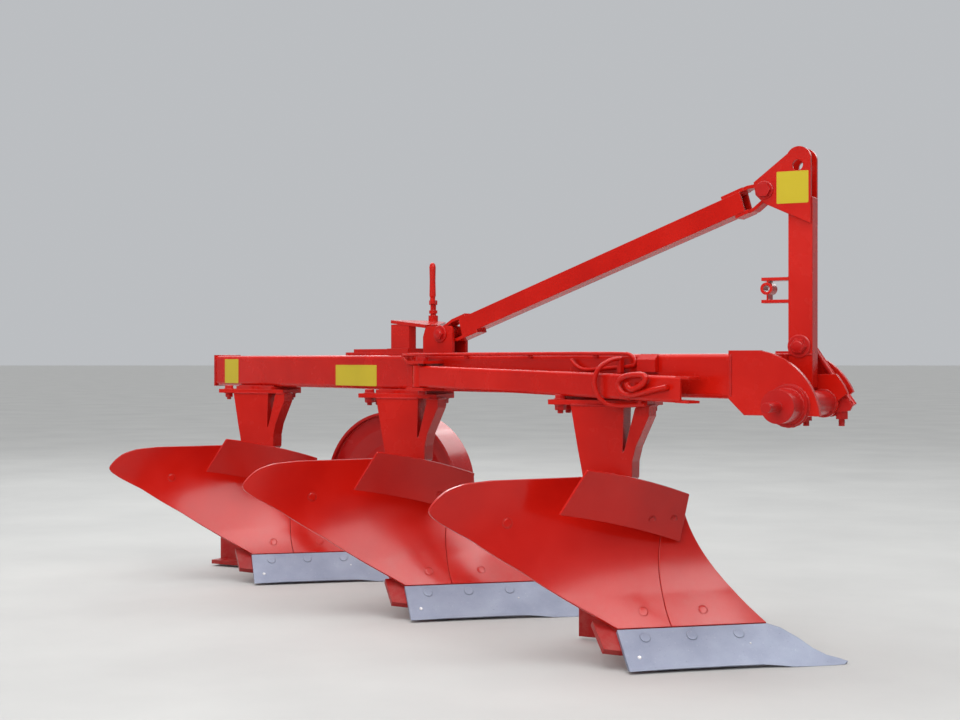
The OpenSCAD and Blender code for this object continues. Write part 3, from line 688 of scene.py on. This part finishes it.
# vertical clamp bolts under the crossbar and beside the shaft
c = Soup()
c.thread(V(-103, 15, 561), UP, 8, 34)
c.hexa(V(-103, 15, 574), UP, 24, 12, turn=0.4)
c.prism([(-124, 5.5), (-84, 5.5), (-84, 28), (-124, 28)], lambda u, v, t: V(u, v, t), 586.5, 593.5)
c.thread(V(-19, 28, 562), UP, 8, 44)
c.hexa(V(-19, 28, 579), UP, 27, 22, cham=3.0, turn=0.1)
c.piece("headstock_clamp_bolts", RED_NUT, slot="bolt_steel", autosmooth=30)
w = Soup()
for y in (-290.3, -273.7):
    w.weld(V(-191, y, 640), V(-191, y, 735), 3.0)
for y in (-8.3, 6.3, 49.7, 64.3):
    w.weld(V(-124, y, 735), V(-188, y, 735), 3.0)
w.weld(V(-125, -60, 735.5), V(-66, -60, 735.5), 3.2)
w.weld(V(-125, -60, 737), V(-125, -16, 737), 3.2)
for y in (-60.3, -15.2):
    w.weld(V(-122, y, 1075), V(-70, y, 1050), 3.0)
    w.weld(V(-125, y, 1112), V(-125, y, 1082), 2.6)
w.weld(V(-125.3, -57, 859.5), V(-125.3, -20, 859.5), 2.6)
w.weld(V(-125.3, -57, 922.5), V(-125.3, -20, 922.5), 2.6)
w.weld_ring(V(-55, -306, 619), V(0, 1, 0), 38.5, 3.0)
w.weld_ring(V(-55, -290, 619), V(0, 1, 0), 47, 2.8)
w.weld_ring(V(-55, -8.4, 619), V(0, 1, 0), 31, 2.8)
w.weld_ring(V(-55, 64.6, 619), V(0, 1, 0), 31, 2.8)
w.weld_ring(V(-130, 87, 619), V(0, 1, 0), 31, 2.8)
w.piece("headstock_welds", RED_CAST)

# ------------------------------------------------------------------ blank yellow stickers


def sticker(name, org, ax, ay, w_, h_, n):
    pts = []
    r = 2.5
    for cx, cy, a0 in ((w_ - r, h_ - r, 0), (r, h_ - r, 90), (r, r, 180), (w_ - r, r, 270)):
        for i in range(5):
            a = math.radians(a0 + 90 * i / 4)
            pts.append((cx + r * math.cos(a), cy + r * math.sin(a)))
    s = Soup()
    s.prism(pts, lambda u, v, t: Vector(org) + Vector(ax) * u + Vector(ay) * v + Vector(n) * t, 0.05, 0.5)
    return s.piece(name, YELLOW, slot=None, autosmooth=40)


def bearm(s0, s1, z0, z1, name):
    """A sticker on the beam's right face between two places along it."""
    o = beam(s0, 50.1, z0)
    sticker(name, o, BACK, UP, s1 - s0, z1 - z0, RIGHT)


bearm(1645.7, 1877.3, 641.5, 706.5, "beam_sticker_long")
bearm(2512, 2610, 640, 725, "beam_sticker_short")
sticker("mast_sticker", V(-151.5, -68, 1098), V(1, 0, 0), UP, 78, 77, V(0, -1, 0))

# ------------------------------------------------------------------ screws
t = Soup()
t.lathe(V(-1404.5, 444, 692), UP, [(0, 0), (9.2, 0)] + [(9.2 + (1.1 if i % 2 else 0), 2.2 * i) for i in range(1, 50)] + [(9.2, 111), (0, 111)], 28)
t.piece("depth_thread", RED_CAST, autosmooth=20)

# ------------------------------------------------------------------ wheel
wh = Soup()
cx, cz = -1748, 291
for i in range(5):
    a = 2 * math.pi * i / 5 + 0.3
    wh.bolt(V(cx + 60 * math.cos(a), 785, cz + 60 * math.sin(a)), V(0, -1, 0), 12, 8, False, 4, turn=a)
    wh.bolt(V(cx + 60 * math.cos(a), 797, cz + 60 * math.sin(a)), V(0, 1, 0), 12, 8, False, 4, turn=a)
wh.lathe(V(cx, 861, cz), V(0, 1, 0), [(0, 0), (30, 0), (30, 3), (26, 8), (14, 10.5), (0, 11)], 40)
wh.piece("wheel_bolts", RED_NUT, body="wheel", slot="bolt_steel", autosmooth=30)
wb = Soup()
for y in (745.0, 875.0):
    sg = 1 if y < 800 else -1
    wb.weld_ring(V(cx, 765.5, cz), V(0, 1, 0), 245, 2.4) if y < 800 else wb.weld_ring(V(cx, 772.5, cz), V(0, 1, 0), 245, 2.4)
wb.piece("wheel_welds", RED_DEEP, body="wheel")

# ------------------------------------------------------------------ floor, light, camera
bpy.ops.mesh.primitive_plane_add(size=400, location=(0, 0, 0))
floor = bpy.context.object
floor.name = "floor"
m, nt, bs = new_material("pale_floor")
co = obj_coord(nt)
nt.links.new(ramp(nt, noise(nt, co, 1.5, 6), [(0.3, (0.46, 0.46, 0.45, 1)), (0.7, (0.52, 0.52, 0.505, 1))]), bs.inputs["Base Color"])
bs.inputs["Roughness"].default_value = 0.85
nt.links.new(bump(nt, noise(nt, co, 160, 4), 0.12, 0.001), bs.inputs["Normal"])
floor.data.materials.append(m)

world = bpy.data.worlds.new("studio")
bpy.context.scene.world = world
world.use_nodes = True
bg = world.node_tree.nodes["Background"]
wn = world.node_tree
geo = wn.nodes.new("ShaderNodeTexCoord")
dot = wn.nodes.new("ShaderNodeVectorMath")
dot.operation = "DOT_PRODUCT"
dot.inputs[1].default_value = (-0.46, 0.86, 0.10)
wn.links.new(geo.outputs["Generated"], dot.inputs[0])
sky = ramp(wn, dot.outputs["Value"], [(0.0, (0.235, 0.245, 0.26, 1)), (0.62, (0.26, 0.27, 0.285, 1)), (0.93, (0.50, 0.515, 0.535, 1))])
wn.links.new(sky, bg.inputs[0])
bg.inputs[1].default_value = 1.0


def area(name, loc, target, size, power, color=(1, 1, 1), glossy=True, diffuse=True):
    d = bpy.data.lights.new(name, "AREA")
    d.shape = "RECTANGLE"
    d.size, d.size_y = size
    d.energy, d.color = power, color
    o = bpy.data.objects.new(name, d)
    bpy.context.scene.collection.objects.link(o)
    o.location = loc
    o.visible_glossy = glossy
    o.visible_diffuse = diffuse
    o.visible_camera = False
    o.rotation_euler = (Vector(target) - Vector(loc)).to_track_quat("-Z", "Y").to_euler()
    return o


area("overhead", (-0.3, -0.8, 5.0), (0, 0, 0.3), (8, 5), 170, (1.0, 0.99, 0.98))
area("front_fill", (0.4, -6.2, 2.4), (-0.2, 0, 0.4), (5, 3), 165, glossy=False)
area("back_left", (-4.2, 3.8, 4.4), (0, 0, 0.2), (3.5, 2.4), 60, (0.97, 0.98, 1.0))
area("sky_back", (-3.4, 7.5, 5.6), (-0.8, 0, 0.5), (7.5, 3.4), 200, (1.0, 1.0, 1.0), diffuse=False)
area("tread_sky", (1.5, 7.5, 4.15), (-0.5, 0.7, 0.3), (4.6, 1.9), 82, (1.0, 1.0, 1.0), diffuse=False)
sun = bpy.data.lights.new("soft_sky", "SUN")
sun.energy, sun.angle = 1.8, math.radians(80)
so = bpy.data.objects.new("soft_sky", sun)
bpy.context.scene.collection.objects.link(so)
so.rotation_euler = Vector((-0.12, 0.22, -1)).to_track_quat("-Z", "Y").to_euler()
# a tall soft panel ahead of the plough: the bright sky that the lower faces of the boards reflect
e_ = Vector((-0.64, 1.72, 1.35)).normalized()
m_ = Vector((0.844, -0.097, 0.527))
u_ = m_.cross(e_).normalized()
u_ = u_ if u_.z > 0 else -u_
mid = Vector((5.83, -0.67, 3.64)) + u_ * 2.5 + Vector((0.3, 0.0, 0.2))
panel = area("front_sky", mid, (0, 0, 0), (6.5, 4.4), 500, (1.0, 1.0, 1.0), diffuse=False)
z_ = e_.cross(u_).normalized()
z_ = z_ if z_.dot(m_) > 0 else -z_
x_ = u_.cross(z_)
panel.rotation_euler = Matrix((x_, u_, z_)).transposed().to_euler()

cam = bpy.data.cameras.new("camera")
cam.sensor_fit, cam.sensor_width, cam.lens = "HORIZONTAL", 36.0, 56.25
cam.clip_start, cam.clip_end = 0.05, 200
co_ = bpy.data.objects.new("camera", cam)
bpy.context.scene.collection.objects.link(co_)
co_.location = W(935, -3588, 722)
co_.rotation_euler = V(-0.4747, 0.8802, 0).normalized().to_track_quat("-Z", "Y").to_euler()
bpy.context.scene.camera = co_
bpy.context.scene.view_settings.view_transform = "Standard"
